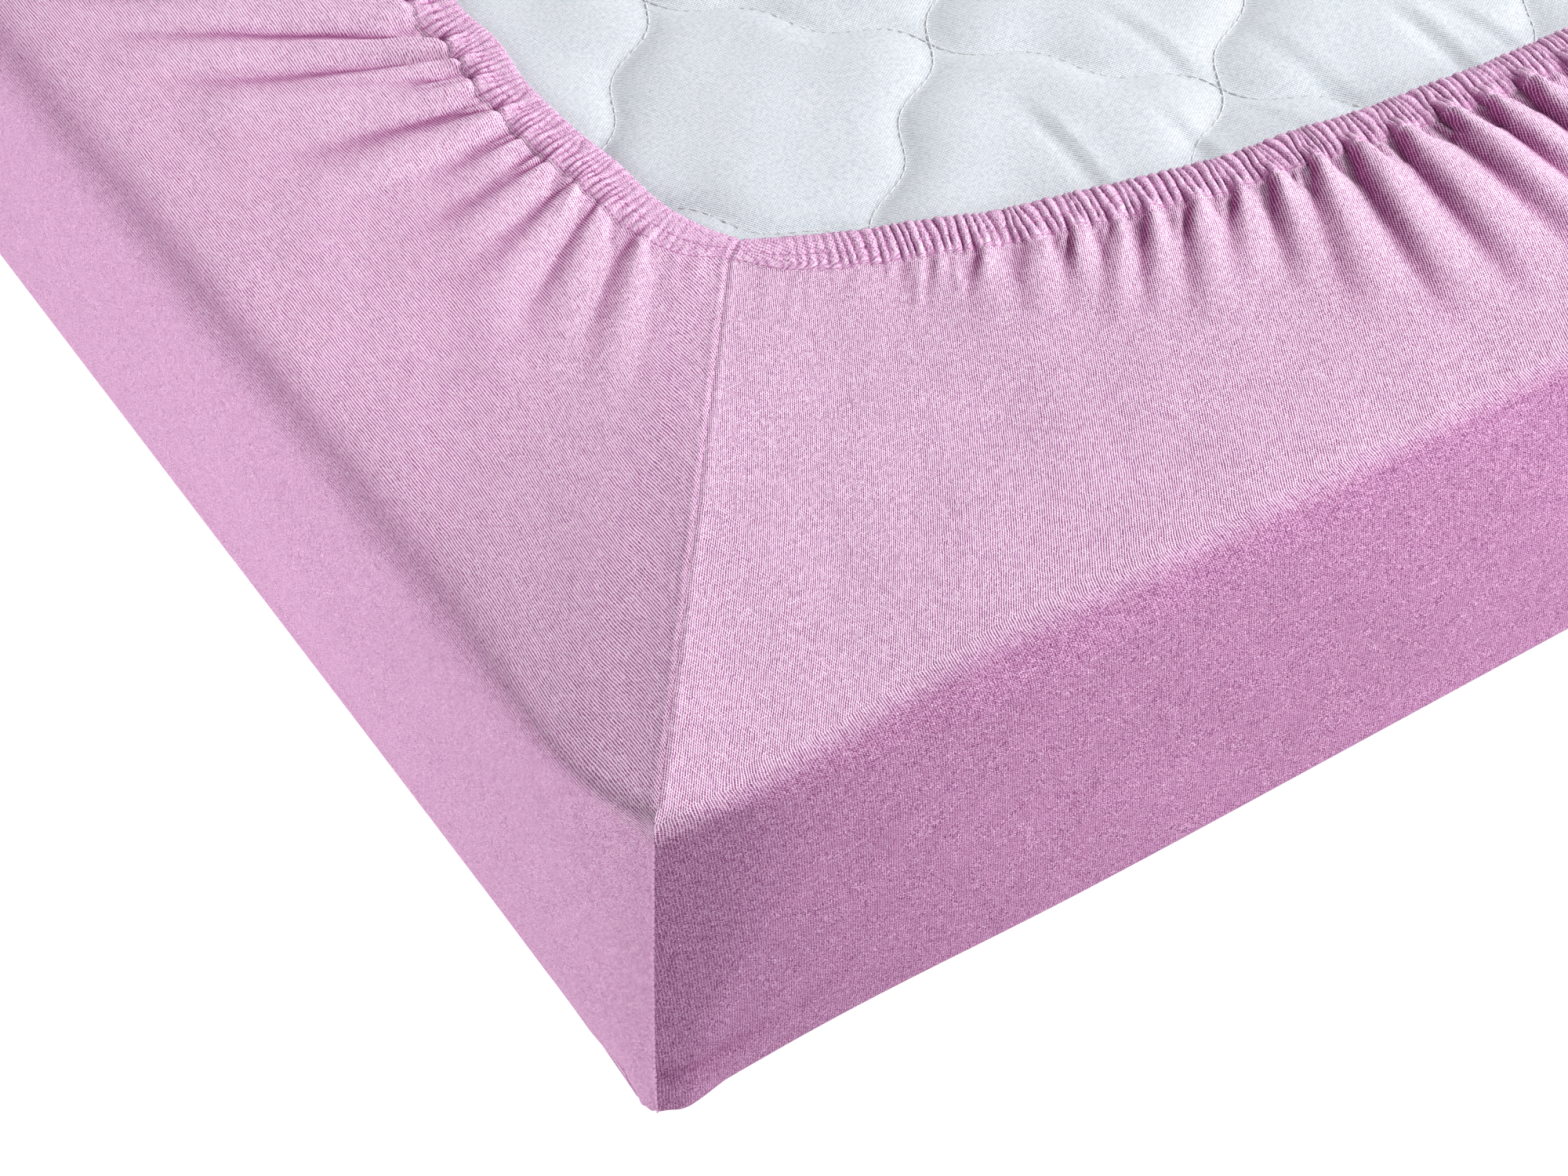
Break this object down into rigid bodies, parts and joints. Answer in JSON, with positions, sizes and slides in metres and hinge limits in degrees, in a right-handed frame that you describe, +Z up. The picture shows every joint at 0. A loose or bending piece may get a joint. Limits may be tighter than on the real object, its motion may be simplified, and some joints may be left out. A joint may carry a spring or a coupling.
{
  "type": "fitted sheet on a mattress",
  "caption": "Knitted jersey fitted sheet drawn over a child's mattress that lies upside down, with its gathered hem round the quilted cover.",
  "frame": {"origin": "on the floor, under the middle of the covered mattress", "axes": "+X along the long sides, +Y along the short sides, +Z up; the corner nearest the picture's camera is at -X, -Y"},
  "size_m": [1.2, 0.6, 0.125],
  "materials": {
    "jersey": "matte knitted cotton",
    "ticking": "matte quilted cover"
  },
  "bodies": {
    "root": {"fitted_sheet": "jersey", "mattress": "ticking"}
  },
  "joints": []
}
